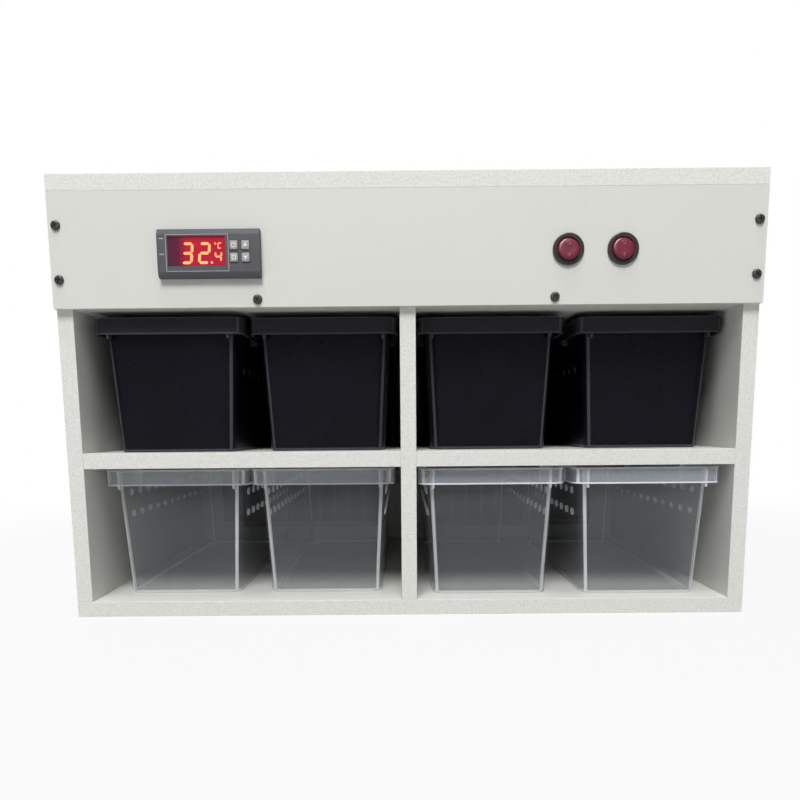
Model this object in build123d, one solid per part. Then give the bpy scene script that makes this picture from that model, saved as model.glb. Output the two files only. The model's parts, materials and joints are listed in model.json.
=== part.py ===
from build123d import *
import os
from math import cos, radians, sin, tan

# Reptile breeding box: a foam-board cabinet with two rows of pull-out tubs, a heating
# film behind each compartment, and a thermostat and two rocker switches in its fascia.
# Millimetres. The origin is the middle of the base, +Z is up and the front faces -Y.

# Cabinet, cut from 12 mm expanded PVC board
overall_width = 526
board_thickness = 12
board_depth = 315
lower_row_height = 105
upper_row_height = 107.5
front_panel_height = 83
front_panel_thickness = 5
back_panel_thickness = 5
notch_width = 18
notch_depth = 8
notch_from_divider = 2

# Tubs
tub_compartment_slack = 14
tub_head_room = 2.1
tub_rear_room = 11
tub_rim_overhang = 7.2
tub_wall = 1.6
tub_floor = 2
tub_taper = 3.2
tub_corner_radius = 11
tub_rim_corner_radius = 9
tub_corner_flats = 3
tub_flange = 2
tub_skirt_height = 12.6
tub_skirt_wall = 1.5
tub_lip_width = 59
tub_lip_reach = 5
tub_lip_slope = 2.5
tub_foot_chamfer = 2.5
tub_web_thickness = 2
tub_web_drop = 3.1
tub_end_web_offset = 46
tub_side_web_spacing = 150
vent_across = 6
vent_sides = 6
vent_rows = 2
vent_columns = 6
vent_row_pitch = 18
vent_column_pitch = 40
vent_below_skirt = 8

# Each tub stands where it was last pushed: how far behind the board fronts its rim
# lies, and how far to the right of an even spacing it stands
lower_tub_setbacks = [17, 17, 7, 4]
upper_tub_setbacks = [8, 15, 20, 24]
lower_tub_shifts = [1, 1, -4.5, -1]
upper_tub_shifts = [3, 4.5, -4.5, 4]

# Heating films and their leads
film_height = 70
film_above_floor = 14
film_thickness = 0.5
film_side_margin = 26
film_cap_height = 16
film_cap_thickness = 3
lead_width = 4
lead_thickness = 2
lead_pitch = 8
first_lead_from_centre = 12
lead_bend_radius = 14

# Terminal block on the back panel, above the notches in the bay floor
block_width = 72
block_depth = 20
block_height = 18
block_slot_width = 1.2
block_slot_depth = 5

# Panel thermostat: a standard 75 x 34.5 mm front on a 71 x 29 mm body
controller_from_left = 118.4
controller_above_panel_bottom = 37.5
bezel_width = 75
bezel_height = 34.5
bezel_proud = 6
bezel_edge = 3
bezel_band = 4
case_width = 71
case_height = 29
case_depth = 60
case_wall = 2
cutout_clearance = 0.3
window_width = 42
window_height = 21
window_thickness = 1
window_left_of_centre = 8.5
window_above_centre = 1.3
key_width = 5.8
key_height = 6.2
key_proud = 1.2
key_travel = 0.5
key_clearance = 0.3
key_column_offsets = [18.7, 27.2]
key_row_offsets = [5.2, -3.4]
display_board_thickness = 1.6
digit_block_width = 36
digit_block_height = 17
rear_cover_thickness = 3
controller_lead_offset = 10
clip_width = 4
clip_length = 22
clip_height = 14

# Round rocker switches for a 20 mm hole
switch_from_right = [145, 105]
switch_above_panel_bottom = 39
switch_hole = 20
switch_body = 19.6
switch_bezel = 23
switch_bezel_proud = 2
switch_body_depth = 16
rocker_ball = 16
rocker_taper = 15
round_sides = 24
rocker_clearance = 0.3
rocker_back = 4
rocker_raised = 2.8
rocker_middle = 1.2
rocker_pressed = -0.1
blade_width = 4.8
blade_thickness = 0.8
blade_length = 8
blade_pitch = 8

# Screws: 3.5 mm self-tapping, with pan heads
screw_head = 7.4
screw_head_height = 2.2
screw_head_slope = 20
screw_head_sides = 12
screw_shank = 3.5
screw_length = 20
side_screw_heights = [20.5, 59]
lower_screw_from_left = [152, 372]
lower_screw_height = 5.5
back_screw_inset = 70

# Cable gland in the back panel
gland_from_right = 60
gland_above_bay_floor = 36
gland_hole = 16
gland_thread = 15.6
gland_bore = 8
gland_hex = 19
gland_hex_thickness = 5
gland_nut_thickness = 4
gland_dome_length = 14
gland_dome_grip = 0.6
gland_dome_slope = 35
gland_dome_mouth = 7.4
gland_seal_bore = 6.6
gland_seal_length = 9
gland_seal_wall = 2.4

# Temperature probe in the upper left compartment
probe_diameter = 5.5
probe_length = 24
probe_from_side = 13
probe_lead_from_case_edge = 12
probe_lead_across = 2
probe_top_above_floor = 70
probe_clip_length = 8
probe_clip_wall = 1.2

# Levels and places that follow from the sizes above
half_width = overall_width / 2
lower_floor_z = board_thickness
shelf_z = lower_floor_z + lower_row_height
upper_floor_z = shelf_z + board_thickness
bay_floor_z = upper_floor_z + upper_row_height
bay_z = bay_floor_z + board_thickness
top_board_z = bay_floor_z + front_panel_height
overall_height = top_board_z + board_thickness
overall_depth = board_depth + front_panel_thickness + back_panel_thickness
front_y = -overall_depth / 2
board_front_y = front_y + front_panel_thickness
board_back_y = board_front_y + board_depth
back_y = board_back_y + back_panel_thickness
side_inner_x = half_width - board_thickness
divider_x = board_thickness / 2
compartment_width = side_inner_x - divider_x

tub_width = (compartment_width - tub_compartment_slack) / 2
tub_height = min(lower_row_height, upper_row_height) - tub_head_room
deepest_setback = max(lower_tub_setbacks + upper_tub_setbacks)
tub_length = board_depth - deepest_setback - tub_rear_room - tub_lip_reach

controller_x = -half_width + controller_from_left
controller_z = bay_floor_z + controller_above_panel_bottom
switch_z = bay_floor_z + switch_above_panel_bottom
pole_z = switch_z - blade_pitch / 2
block_front_y = board_back_y - block_depth

os.makedirs("parts", exist_ok=True)


def block(x0, x1, y0, y1, z0, z1):
    """A box between two corners."""
    size = (x1 - x0, y1 - y0, z1 - z0)
    return Pos((x0 + x1) / 2, (y0 + y1) / 2, (z0 + z1) / 2) * Box(*size)


def rod(radius, length, x, y, z):
    """A round bar along +Y, with its near end at y."""
    return Pos(x, y + length / 2, z) * Rot(90, 0, 0) * Cylinder(radius, length)


def flat_sided(levels):
    """A solid closed by flat faces between outlines at rising levels, each with as many points."""
    count = len(levels[0])
    faces = [Face(Wire.make_polygon(levels[0])), Face(Wire.make_polygon(levels[-1]))]
    for low, high in zip(levels, levels[1:]):
        for start in range(count):
            end = (start + 1) % count
            faces.append(Face(Wire.make_polygon([low[start], low[end], high[end], high[start]])))
    return Solid(Shell(faces))


def ring(radius, sides, height):
    """The corners of a level many-sided outline around the origin."""
    turns = [radians(360 * step / sides) for step in range(sides)]
    return [(radius * cos(turn), radius * sin(turn), height) for turn in turns]


def prism(radius, sides, length, y, taper=0):
    """A many-sided bar along +Y, with its near end at y."""
    far = radius - length * tan(radians(taper))
    return Pos(0, y, 0) * Rot(-90, 0, 0) * flat_sided([ring(radius, sides, 0),
                                                       ring(far, sides, length)])


def save(name, shape):
    export_step(shape, f"parts/{name}.step")


# Cabinet boards

def bottom_board():
    return block(-half_width, half_width, board_front_y, board_back_y, 0, board_thickness)


def top_board():
    return block(-half_width, half_width, front_y, back_y, top_board_z, overall_height)


def side_board(side):
    inner = side * side_inner_x
    outer = side * half_width
    return block(min(inner, outer), max(inner, outer), board_front_y, board_back_y,
                 board_thickness, top_board_z)


def centre_divider():
    return block(-divider_x, divider_x, board_front_y, board_back_y, board_thickness, bay_floor_z)


def lead_notch(side, z0, z1):
    """The cut in a board's back edge that the heater leads rise through."""
    near = divider_x + notch_from_divider
    far = near + notch_width
    return block(min(side * near, side * far), max(side * near, side * far),
                 board_back_y - notch_depth, board_back_y, z0, z1)


def shelf(side):
    inner = side * divider_x
    outer = side * side_inner_x
    board = block(min(inner, outer), max(inner, outer), board_front_y, board_back_y,
                  shelf_z, upper_floor_z)
    return board - lead_notch(side, shelf_z, upper_floor_z)


def bay_floor():
    board = block(-side_inner_x, side_inner_x, board_front_y, board_back_y, bay_floor_z, bay_z)
    for side in (-1, 1):
        board -= lead_notch(side, bay_floor_z, bay_z)
    board -= block(probe_x() - notch_depth / 2, probe_x() + notch_depth / 2,
                   board_back_y - notch_depth, board_back_y, bay_floor_z, bay_z)
    return board


def switch_x(index):
    return half_width - switch_from_right[index]


def front_panel():
    panel = block(-half_width, half_width, front_y, board_front_y, bay_floor_z, top_board_z)
    panel -= Pos(controller_x, front_y, controller_z) * Box(
        case_width + 2 * cutout_clearance, 4 * front_panel_thickness,
        case_height + 2 * cutout_clearance)
    for index in range(len(switch_from_right)):
        panel -= rod(switch_hole / 2, 2 * front_panel_thickness, switch_x(index),
                     front_y - front_panel_thickness / 2, switch_z)
    return panel


def back_panel():
    panel = block(-half_width, half_width, board_back_y, back_y, 0, top_board_z)
    return panel - gland_at(rod(gland_hole / 2, 2 * back_panel_thickness, 0,
                                -1.5 * back_panel_thickness, 0))


# Screws

def screw(x, y, z, facing):
    """A pan-head screw whose head rests on the face at y; facing is -1 for the front."""
    crown = screw_head / 2 - screw_head_height * tan(radians(screw_head_slope))
    head = flat_sided([ring(screw_head / 2, screw_head_sides, 0),
                       ring(crown, screw_head_sides, screw_head_height)])
    shank = flat_sided([ring(screw_shank / 2, 6, -screw_length), ring(screw_shank / 2, 6, 0)])
    turn = 90 if facing < 0 else -90
    return Pos(x, y, z) * Rot(turn, 0, 0) * (head + shank)


def front_panel_screws():
    side_x = half_width - board_thickness / 2
    places = [(side * side_x, bay_floor_z + height)
              for side in (-1, 1) for height in side_screw_heights]
    places += [(-half_width + left, bay_floor_z + lower_screw_height)
               for left in lower_screw_from_left]
    return Compound(children=[screw(x, front_y, z, -1) for x, z in places])


def back_panel_screws():
    side_x = half_width - board_thickness / 2
    low = board_thickness / 2
    high = bay_floor_z + board_thickness / 2
    across = half_width - back_screw_inset
    places = [(x, z) for z in (low, high) for x in (-across, across)]
    places += [(side * side_x, z) for side in (-1, 1)
               for z in (lower_floor_z + lower_row_height / 2, upper_floor_z + upper_row_height / 2)]
    return Compound(children=[screw(x, back_y, z, 1) for x, z in places])


# Tubs, drawn with the middle of the base at the origin and the front at -Y

def corner_points(width, length, radius):
    """The outline of a rectangle whose rounded corners are cut as a few flats each."""
    points = []
    for turn, (right, back) in enumerate(((1, 1), (-1, 1), (-1, -1), (1, -1))):
        for step in range(tub_corner_flats + 1):
            angle = radians(90 * (turn + step / tub_corner_flats))
            points.append((right * (width / 2 - radius) + radius * cos(angle),
                           back * (length / 2 - radius) + radius * sin(angle)))
    return points


def wall_points(height, inset):
    """The tapered wall's outline at a height above the foot, drawn in by inset."""
    narrowing = (tub_height - height) * tan(radians(tub_taper)) + inset
    less = 2 * (tub_rim_overhang + narrowing)
    outline = corner_points(tub_width - less, tub_length - less, tub_corner_radius - narrowing)
    return [(x, y, height) for x, y in outline]


def rim_outline(inset):
    """The rim seen from above, with a pull lip at each end, drawn in by inset."""
    outline = Polygon(*corner_points(tub_width - 2 * inset, tub_length - 2 * inset,
                                     tub_rim_corner_radius - inset), align=None)
    near = tub_lip_width / 2 - inset
    wide = near + 2 * tub_lip_slope
    reach = tub_length / 2 + tub_lip_reach - inset
    root = tub_length / 2 - tub_lip_reach
    outline += Polygon((-wide, -root), (-near, -reach), (near, -reach), (wide, -root),
                       (wide, root), (near, reach), (-near, reach), (-wide, root), align=None)
    return outline


def tub_webs():
    """Upright webs between the body and the skirt, which stiffen the rim."""
    low = tub_height - tub_skirt_height - tub_web_drop
    high = tub_height - tub_flange
    end_y = tub_length / 2 - tub_skirt_wall
    side_x = tub_width / 2 - tub_skirt_wall
    depth = tub_rim_overhang + 2
    half = tub_web_thickness / 2
    webs = []
    for x in (-tub_end_web_offset, tub_end_web_offset):
        webs.append(block(x - half, x + half, -end_y, -end_y + depth, low, high))
        webs.append(block(x - half, x + half, end_y - depth, end_y, low, high))
    for y in (-tub_side_web_spacing / 2, tub_side_web_spacing / 2):
        webs.append(block(-side_x, -side_x + depth, y - half, y + half, low, high))
        webs.append(block(side_x - depth, side_x, y - half, y + half, low, high))
    return webs


def tub_vents():
    """Bars that cut the vent holes through both side walls, in rows below the skirt."""
    top = tub_height - tub_skirt_height - vent_below_skirt
    bars = []
    for row in range(vent_rows):
        for column in range(vent_columns):
            y = (column - (vent_columns - 1) / 2) * vent_column_pitch
            bar = extrude(RegularPolygon(vent_across / 2, vent_sides), tub_width, both=True)
            bars.append(Pos(0, y, top - row * vent_row_pitch) * Rot(0, 90, 0) * bar)
    return bars


def tub_shape():
    body = flat_sided([wall_points(0, tub_foot_chamfer), wall_points(tub_foot_chamfer, 0),
                       wall_points(tub_height, 0)])
    flange = extrude(Pos(0, 0, tub_height - tub_flange) * rim_outline(0), tub_flange)
    skirt = rim_outline(0) - rim_outline(tub_skirt_wall)
    skirt = extrude(Pos(0, 0, tub_height - tub_skirt_height) * skirt, tub_skirt_height)
    tub = body + flange + skirt
    for web in tub_webs():
        tub += web
    tub -= flat_sided([wall_points(tub_floor, tub_wall), wall_points(tub_height, tub_wall)])
    return tub - tub_vents()


def tub_place(index, setbacks, shifts, floor_z):
    """Where tub number index of a row stands, counted from the left."""
    side = -1 if index < 2 else 1
    middle = side * (divider_x + compartment_width / 2)
    spacing = (tub_width + tub_compartment_slack / 8) / 2
    step = -spacing if index % 2 == 0 else spacing
    y = board_front_y + setbacks[index] + tub_length / 2
    return Pos(middle + step + shifts[index], y, floor_z)


# Heating films, with the cap that joins the leads to the film's inner edge

def heating_film(side, floor_z, lead_x):
    z0 = floor_z + film_above_floor
    inner = divider_x + film_side_margin
    outer = side_inner_x - film_side_margin
    sheet = block(inner, outer, board_back_y - film_thickness, board_back_y, z0, z0 + film_height)
    cap = block(lead_x - lead_pitch / 3, inner + film_cap_height,
                board_back_y - film_cap_thickness, board_back_y,
                z0 + film_height - film_cap_height, z0 + film_height)
    film = sheet + cap
    return film if side > 0 else mirror(film, about=Plane.YZ)


# Leads: flat twin cable along straight runs joined by arcs

def lead(points, width, thickness, flat_side):
    """A lead through the points; flat_side is the way that its width lies."""
    path = FilletPolyline(*points, radius=lead_bend_radius)
    start = Plane(origin=path @ 0, x_dir=flat_side, z_dir=path % 0)
    return sweep(start * Rectangle(width, thickness), path=path)


def heater_leads():
    """Straight up the back panel, from each film's cap to the underside of the terminal block."""
    leads = []
    for side in (-1, 1):
        for row, floor_z in enumerate((lower_floor_z, upper_floor_z)):
            x = side * (first_lead_from_centre + row * lead_pitch)
            leads.append(block(x - lead_width / 2, x + lead_width / 2,
                               board_back_y - lead_thickness, board_back_y,
                               floor_z + film_above_floor + film_height,
                               pole_z - block_height / 2))
    return Compound(children=leads)


def bay_leads(starts, first_turn, side):
    """Leads from the parts in the fascia to the front of the terminal block."""
    leads = []
    for index, (x, y) in enumerate(starts):
        turn = first_turn + index * lead_pitch
        pole_x = side * (first_lead_from_centre + lead_pitch * (1 + index))
        points = [(x, y, pole_z), (x, turn, pole_z), (pole_x, turn, pole_z),
                  (pole_x, block_front_y, pole_z)]
        leads.append(lead(points, lead_width, lead_thickness, (0, 0, 1)))
    return Compound(children=leads)


def lead_turn():
    """How far back the first lead turns towards the terminal block."""
    return front_y + case_depth + rear_cover_thickness + 2.5 * lead_bend_radius


def controller_leads():
    y = front_y + case_depth + rear_cover_thickness
    starts = [(controller_x + controller_lead_offset - index * lead_pitch, y)
              for index in (0, 1)]
    return bay_leads(starts, lead_turn(), -1)


def switch_leads():
    y = front_y + switch_body_depth + blade_length
    return bay_leads([(switch_x(index), y) for index in (0, 1)], lead_turn(), 1)


def probe_x():
    return -side_inner_x + probe_from_side


def probe_y():
    return board_back_y - probe_diameter / 2


def probe_lead():
    start = front_y + case_depth + rear_cover_thickness
    near_x = controller_x - case_width / 2 + probe_lead_from_case_edge
    turn = lead_turn() + 3 * lead_pitch
    points = [(near_x, start, pole_z), (near_x, turn, pole_z), (probe_x(), turn, pole_z),
              (probe_x(), probe_y(), pole_z),
              (probe_x(), probe_y(), upper_floor_z + probe_top_above_floor)]
    return lead(points, probe_lead_across, probe_lead_across, (0, 0, 1))


def probe_at(shape):
    middle = upper_floor_z + probe_top_above_floor - probe_length / 2
    return Pos(probe_x(), probe_y(), middle) * shape


def temperature_probe():
    return probe_at(Cylinder(probe_diameter / 2, probe_length))


def probe_clip():
    """A saddle that holds the probe against the back panel."""
    half = probe_diameter / 2
    outer = half + probe_clip_wall
    saddle = block(-outer, outer, -outer, half, -probe_clip_length / 2, probe_clip_length / 2)
    saddle -= Cylinder(half, probe_length)
    saddle -= block(-half, half, 0, half, -probe_length, probe_length)
    return probe_at(saddle)


# Terminal block

def terminal_block():
    low = pole_z - block_height / 2
    high = pole_z + block_height / 2
    body = block(-block_width / 2, block_width / 2, block_front_y, board_back_y, low, high)
    count = int(block_width // lead_pitch)
    for index in range(1, count):
        x = -block_width / 2 + index * block_width / count
        body -= block(x - block_slot_width / 2, x + block_slot_width / 2,
                      block_front_y, block_front_y + block_slot_depth, low, high)
    return body


# Panel thermostat, drawn with its middle at the origin and the panel's face at y = 0

def controller_at(shape):
    return Pos(controller_x, front_y, controller_z) * shape


def key_places():
    return [(x, z) for z in key_row_offsets for x in key_column_offsets]


def controller_case():
    half = bezel_height / 2
    outline = [(0, -half), (-bezel_edge, -half), (-bezel_proud, -half + bezel_band),
               (-bezel_proud, half - bezel_band), (-bezel_edge, half), (0, half)]
    face = Plane.YZ * Polygon(*outline, align=None)
    front = extrude(Pos(-bezel_width / 2, 0, 0) * face, bezel_width, dir=(1, 0, 0))
    case = front + block(-case_width / 2, case_width / 2, 0, case_depth,
                         -case_height / 2, case_height / 2)
    inner_x = case_width / 2 - case_wall
    inner_z = case_height / 2 - case_wall
    case -= block(-inner_x, inner_x, -bezel_proud + 2 * case_wall, case_depth, -inner_z, inner_z)
    window_x = -window_left_of_centre
    case -= block(window_x - window_width / 2, window_x + window_width / 2,
                  -bezel_proud, -bezel_proud + window_thickness,
                  window_above_centre - window_height / 2, window_above_centre + window_height / 2)
    case -= block(window_x - digit_block_width / 2, window_x + digit_block_width / 2,
                  -bezel_proud, case_wall,
                  window_above_centre - digit_block_height / 2,
                  window_above_centre + digit_block_height / 2)
    for x, z in key_places():
        case -= Pos(x, 0, z) * Box(key_width + 2 * key_clearance, 4 * bezel_proud,
                                   key_height + 2 * key_clearance)
    return case


def controller_window():
    x = -window_left_of_centre
    return block(x - window_width / 2, x + window_width / 2,
                 -bezel_proud, -bezel_proud + window_thickness,
                 window_above_centre - window_height / 2, window_above_centre + window_height / 2)


def display_board_y():
    return case_wall + key_travel + 1


def controller_display():
    """The block of digits, standing on its upright circuit board."""
    x = -window_left_of_centre
    y = display_board_y()
    inner_x = case_width / 2 - case_wall
    inner_z = case_height / 2 - case_wall
    digits = block(x - digit_block_width / 2, x + digit_block_width / 2,
                   -bezel_proud + window_thickness, y,
                   window_above_centre - digit_block_height / 2,
                   window_above_centre + digit_block_height / 2)
    board = block(-inner_x, inner_x, y, y + display_board_thickness, -inner_z, inner_z)
    return digits + board


def controller_key(x, z):
    back = display_board_y() - key_travel - 0.2
    length = bezel_proud + key_proud + back
    key = Pos(x, back - length / 2, z) * Box(key_width, length, key_height)
    rim = key.faces().sort_by(Axis.Y)[0].edges()
    return chamfer(rim, 0.5)


def controller_power_board():
    """The mains board, with its transformer and relay."""
    y0 = display_board_y() + display_board_thickness
    inner_x = case_width / 2 - case_wall
    low = -case_height / 2 + case_wall + 2
    board = block(-inner_x, inner_x, y0, case_depth, low, low + 1.6)
    transformer = block(-28, -6, y0 + 12, y0 + 34, low + 1.6, low + 19)
    relay = block(4, 23, y0 + 14, y0 + 30, low + 1.6, low + 17)
    return board + transformer + relay


def controller_rear_cover():
    """The back wall, with the row of screw terminals moulded on it."""
    cover = block(-case_width / 2, case_width / 2, case_depth, case_depth + rear_cover_thickness,
                  -case_height / 2, case_height / 2)
    return cover


def controller_clips():
    """The two side clips that pull the front against the panel."""
    clips = []
    for side in (-1, 1):
        x0 = side * case_width / 2
        x1 = side * (case_width / 2 + clip_width)
        x2 = side * (case_width / 2 + 1.6 * clip_width)
        y0 = front_panel_thickness
        points = [(x0, y0), (x2, y0), (x2, y0 + clip_length / 4), (x1, y0 + clip_length),
                  (x0, y0 + clip_length)]
        face = Polygon(*points, align=None)
        clips.append(extrude(Pos(0, 0, -clip_height / 2) * face, clip_height, dir=(0, 0, 1)))
    return clips


# Round rocker switches, drawn with the middle of the hole on the panel's face at the origin

def switch_at(index, shape):
    return Pos(switch_x(index), front_y, switch_z) * shape


def switch_housing():
    ball = rocker_ball / 2 + rocker_clearance
    housing = prism(switch_bezel / 2, round_sides, switch_bezel_proud, -switch_bezel_proud)
    housing += prism(switch_body / 2, round_sides, switch_body_depth, 0)
    return housing - prism(ball, round_sides, switch_bezel_proud + ball, -switch_bezel_proud)


def switch_blades():
    blades = []
    for z in (-blade_pitch / 2, blade_pitch / 2):
        blades.append(block(-blade_width / 2, blade_width / 2,
                            switch_body_depth, switch_body_depth + blade_length,
                            z - blade_thickness / 2, z + blade_thickness / 2))
    return blades


def rocker():
    """Ball-like, so that it tips inside its round opening; at rest it is pressed at the foot."""
    half = prism(rocker_ball / 2, round_sides, rocker_back, 0, rocker_taper)
    ball = Pos(0, -switch_bezel_proud, 0) * (half + mirror(half, about=Plane.XZ))
    reach = rocker_ball
    front = -switch_bezel_proud
    points = [(front - rocker_raised, rocker_ball / 2), (front - rocker_middle, 0),
              (front - rocker_pressed, -rocker_ball / 2), (front + rocker_back, -rocker_ball / 2),
              (front + rocker_back, rocker_ball / 2)]
    side = Plane.YZ * Polygon(*points, align=None)
    slab = extrude(Pos(-reach, 0, 0) * side, 2 * reach, dir=(1, 0, 0))
    return ball & slab


# Cable gland, with its bore open for the cable, drawn with its middle on the back face

def gland_at(shape):
    return Pos(half_width - gland_from_right, back_y, bay_z + gland_above_bay_floor) * shape


def gland_hexagon(thickness, y):
    return Pos(0, y, 0) * Rot(-90, 0, 0) * extrude(
        RegularPolygon(gland_hex / 2, 6, major_radius=False), thickness)


def gland_body():
    inside = back_panel_thickness + gland_nut_thickness + 2
    body = prism(gland_thread / 2, round_sides, inside, -inside)
    body += gland_hexagon(gland_hex_thickness, 0)
    return body - prism(gland_bore / 2, round_sides, 2 * inside, -inside)


def gland_lock_nut():
    y = -back_panel_thickness - gland_nut_thickness
    return gland_hexagon(gland_nut_thickness, y) - prism(
        gland_thread / 2, round_sides, gland_nut_thickness, y)


def gland_seal():
    outer = gland_seal_bore / 2 + gland_seal_wall
    return prism(outer, round_sides, gland_seal_length, gland_hex_thickness) - rod(
        gland_seal_bore / 2, gland_seal_length, 0, gland_hex_thickness, 0)


def gland_dome_nut():
    """A hexagon that draws in to the mouth, closed down on the seal."""
    inner = gland_seal_bore / 2 + gland_seal_wall
    dome = gland_hexagon(gland_dome_length * gland_dome_grip, gland_hex_thickness)
    rounded = gland_hex_thickness + gland_dome_length * gland_dome_grip
    dome += prism(gland_hex / 2, round_sides, gland_dome_length * (1 - gland_dome_grip),
                  rounded, gland_dome_slope)
    dome -= prism(inner, round_sides, gland_seal_length, gland_hex_thickness)
    return dome - prism(gland_dome_mouth / 2, round_sides, gland_dome_length,
                        gland_hex_thickness + gland_seal_length)


# Write every piece

def build():
    save("bottom_board", bottom_board())
    save("top_board", top_board())
    save("side_board_left", side_board(-1))
    save("side_board_right", side_board(1))
    save("centre_divider", centre_divider())
    save("shelf_left", shelf(-1))
    save("shelf_right", shelf(1))
    save("bay_floor", bay_floor())
    save("front_panel", front_panel())
    save("back_panel", back_panel())
    save("front_panel_screws", front_panel_screws())
    save("back_panel_screws", back_panel_screws())

    tub = tub_shape()
    rows = [("lower", lower_tub_setbacks, lower_tub_shifts, lower_floor_z),
            ("upper", upper_tub_setbacks, upper_tub_shifts, upper_floor_z)]
    for row, setbacks, shifts, floor_z in rows:
        for index in range(4):
            place = tub_place(index, setbacks, shifts, floor_z)
            save(f"tub_{row}_{index + 1}", place * tub)

    for row, floor_z in (("lower", lower_floor_z), ("upper", upper_floor_z)):
        lead_x = first_lead_from_centre + (0 if row == "lower" else lead_pitch)
        save(f"heating_film_{row}_left", heating_film(-1, floor_z, lead_x))
        save(f"heating_film_{row}_right", heating_film(1, floor_z, lead_x))
    save("heater_leads", heater_leads())
    save("terminal_block", terminal_block())
    save("controller_leads", controller_leads())
    save("switch_leads", switch_leads())
    save("probe_lead", probe_lead())
    save("temperature_probe", temperature_probe())
    save("probe_clip", probe_clip())

    save("controller_case", controller_at(controller_case()))
    save("controller_window", controller_at(controller_window()))
    save("controller_display", controller_at(controller_display()))
    save("controller_power_board", controller_at(controller_power_board()))
    save("controller_rear_cover", controller_at(controller_rear_cover()))
    save("controller_clips", Compound(children=[controller_at(c) for c in controller_clips()]))
    for name, (x, z) in zip(("power", "up", "set", "down"), key_places()):
        save(f"key_{name}", controller_at(controller_key(x, z)))

    for index, side in enumerate(("left", "right")):
        save(f"switch_{side}_housing", switch_at(index, switch_housing()))
        save(f"switch_{side}_rocker", switch_at(index, rocker()))
    blades = [switch_at(index, blade) for index in (0, 1) for blade in switch_blades()]
    save("switch_blades", Compound(children=blades))

    save("gland_body", gland_at(gland_body()))
    save("gland_lock_nut", gland_at(gland_lock_nut()))
    save("gland_seal", gland_at(gland_seal()))
    save("gland_dome_nut", gland_at(gland_dome_nut()))


build()
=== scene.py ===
# %% [markdown]
# # A heated breeding box for small reptiles
# The real object is a cabinet of white foam board with two rows of four pull-out tubs, clear below and
# smoky above, and a fascia that holds a panel thermostat and two round rocker switches. The packed
# model is loaded first as a fixed frame: it says where each piece is and which body carries it. Every
# piece below is then modelled at that place, in metres, and takes over from its plain counterpart.

import json
from math import pi, radians, tan

import bmesh
import bpy
from mathutils import Matrix, Vector


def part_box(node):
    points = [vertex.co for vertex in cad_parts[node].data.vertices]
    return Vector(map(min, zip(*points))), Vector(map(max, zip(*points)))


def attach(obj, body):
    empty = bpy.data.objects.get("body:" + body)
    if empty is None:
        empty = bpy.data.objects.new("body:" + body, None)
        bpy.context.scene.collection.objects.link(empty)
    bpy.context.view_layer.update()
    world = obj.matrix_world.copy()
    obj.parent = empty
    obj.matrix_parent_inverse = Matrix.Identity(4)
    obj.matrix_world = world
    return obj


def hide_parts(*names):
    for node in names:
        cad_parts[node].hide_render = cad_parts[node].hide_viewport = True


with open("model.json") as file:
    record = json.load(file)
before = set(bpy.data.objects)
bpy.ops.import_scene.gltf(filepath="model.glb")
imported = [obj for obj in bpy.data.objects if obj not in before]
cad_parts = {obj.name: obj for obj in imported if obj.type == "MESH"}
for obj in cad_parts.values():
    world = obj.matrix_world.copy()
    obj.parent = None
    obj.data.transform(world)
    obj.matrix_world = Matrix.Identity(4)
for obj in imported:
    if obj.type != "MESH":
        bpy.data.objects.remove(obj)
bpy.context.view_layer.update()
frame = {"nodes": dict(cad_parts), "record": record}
mm = 0.001

# %% [markdown]
# ## Working by hand, in code
# Modelling by hand is a rhythm: pick an object, go into edit mode, select something, change it, come
# out. These helpers are that rhythm. Selection is by place and direction, because code can't click.
# A finished piece has its place in its mesh and its object at the origin, so `settle` applies all three
# transforms as soon as a primitive has been added.

# %% Helpers for modelling
def focus(piece):
    """Makes this the only selected object, and the active one."""
    bpy.ops.object.select_all(action="DESELECT")
    piece.select_set(True)
    bpy.context.view_layer.objects.active = piece


def settle(name):
    """Names the newest object and writes its place, turn and size into its mesh."""
    piece = bpy.context.object
    focus(piece)
    bpy.ops.object.transform_apply(location=True, rotation=True, scale=True)
    piece.name = name
    piece.data.name = name
    return piece


def start_block(name, low, high):
    """A box between two corners, as the start of a piece."""
    bpy.ops.object.select_all(action="DESELECT")
    low, high = Vector(low), Vector(high)
    bpy.ops.mesh.primitive_cube_add(size=1, location=(low + high) / 2)
    bpy.context.object.scale = high - low
    return settle(name)


def start_rod(name, radius, near, far, x, z, sides=48):
    """A round bar along Y, from near to far, as the start of a piece."""
    bpy.ops.object.select_all(action="DESELECT")
    bpy.ops.mesh.primitive_cylinder_add(vertices=sides, radius=radius, depth=far - near,
                                        location=(x, (near + far) / 2, z), rotation=(pi / 2, 0, 0))
    return settle(name)


def edit(piece, kind):
    """Goes into edit mode with nothing selected; kind is VERT, EDGE or FACE."""
    focus(piece)
    bpy.ops.object.mode_set(mode="EDIT")
    bpy.ops.mesh.select_mode(type=kind)
    bpy.ops.mesh.select_all(action="DESELECT")


def leave():
    bpy.ops.object.mode_set(mode="OBJECT")


def choose(test):
    """In edit mode, selects what passes the test, which is given a middle and a direction.

    The direction is a face's or corner's normal, or the way that an edge runs.
    """
    bpy.ops.mesh.select_all(action="DESELECT")
    piece = bpy.context.edit_object
    mesh = bmesh.from_edit_mesh(piece.data)
    corners, edges, faces = bpy.context.tool_settings.mesh_select_mode
    if corners:
        for corner in mesh.verts:
            corner.select_set(bool(test(corner.co, corner.normal)))
    if edges:
        for edge in mesh.edges:
            start, end = (corner.co for corner in edge.verts)
            edge.select_set(bool(test((start + end) / 2, (end - start).normalized())))
    if faces:
        for face in mesh.faces:
            face.select_set(bool(test(face.calc_center_median(), face.normal)))
    mesh.select_flush_mode()
    bmesh.update_edit_mesh(piece.data)


def shift(x=0, y=0, z=0):
    bpy.ops.transform.translate(value=(x, y, z))


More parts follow.
